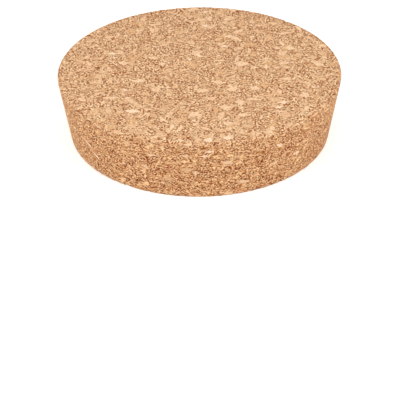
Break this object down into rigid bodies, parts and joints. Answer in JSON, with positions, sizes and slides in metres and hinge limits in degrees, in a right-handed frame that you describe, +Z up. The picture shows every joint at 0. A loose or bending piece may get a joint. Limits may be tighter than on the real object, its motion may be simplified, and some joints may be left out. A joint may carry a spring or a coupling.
{
  "type": "cork stopper",
  "caption": "Wide, low tapered stopper of pressed cork granules with softened edges, pushed narrow face first into the round neck of a jar.",
  "frame": {"origin": "middle of the narrow face, which the stopper stands on", "axes": "+Z up the axis and out through the wide face; the body is round, so +X and +Y have no mark of their own"},
  "size_m": [0.1078, 0.1078, 0.025],
  "materials": {
    "pressed_cork": "matte"
  },
  "bodies": {
    "root": {"stopper": "pressed_cork"}
  },
  "joints": []
}
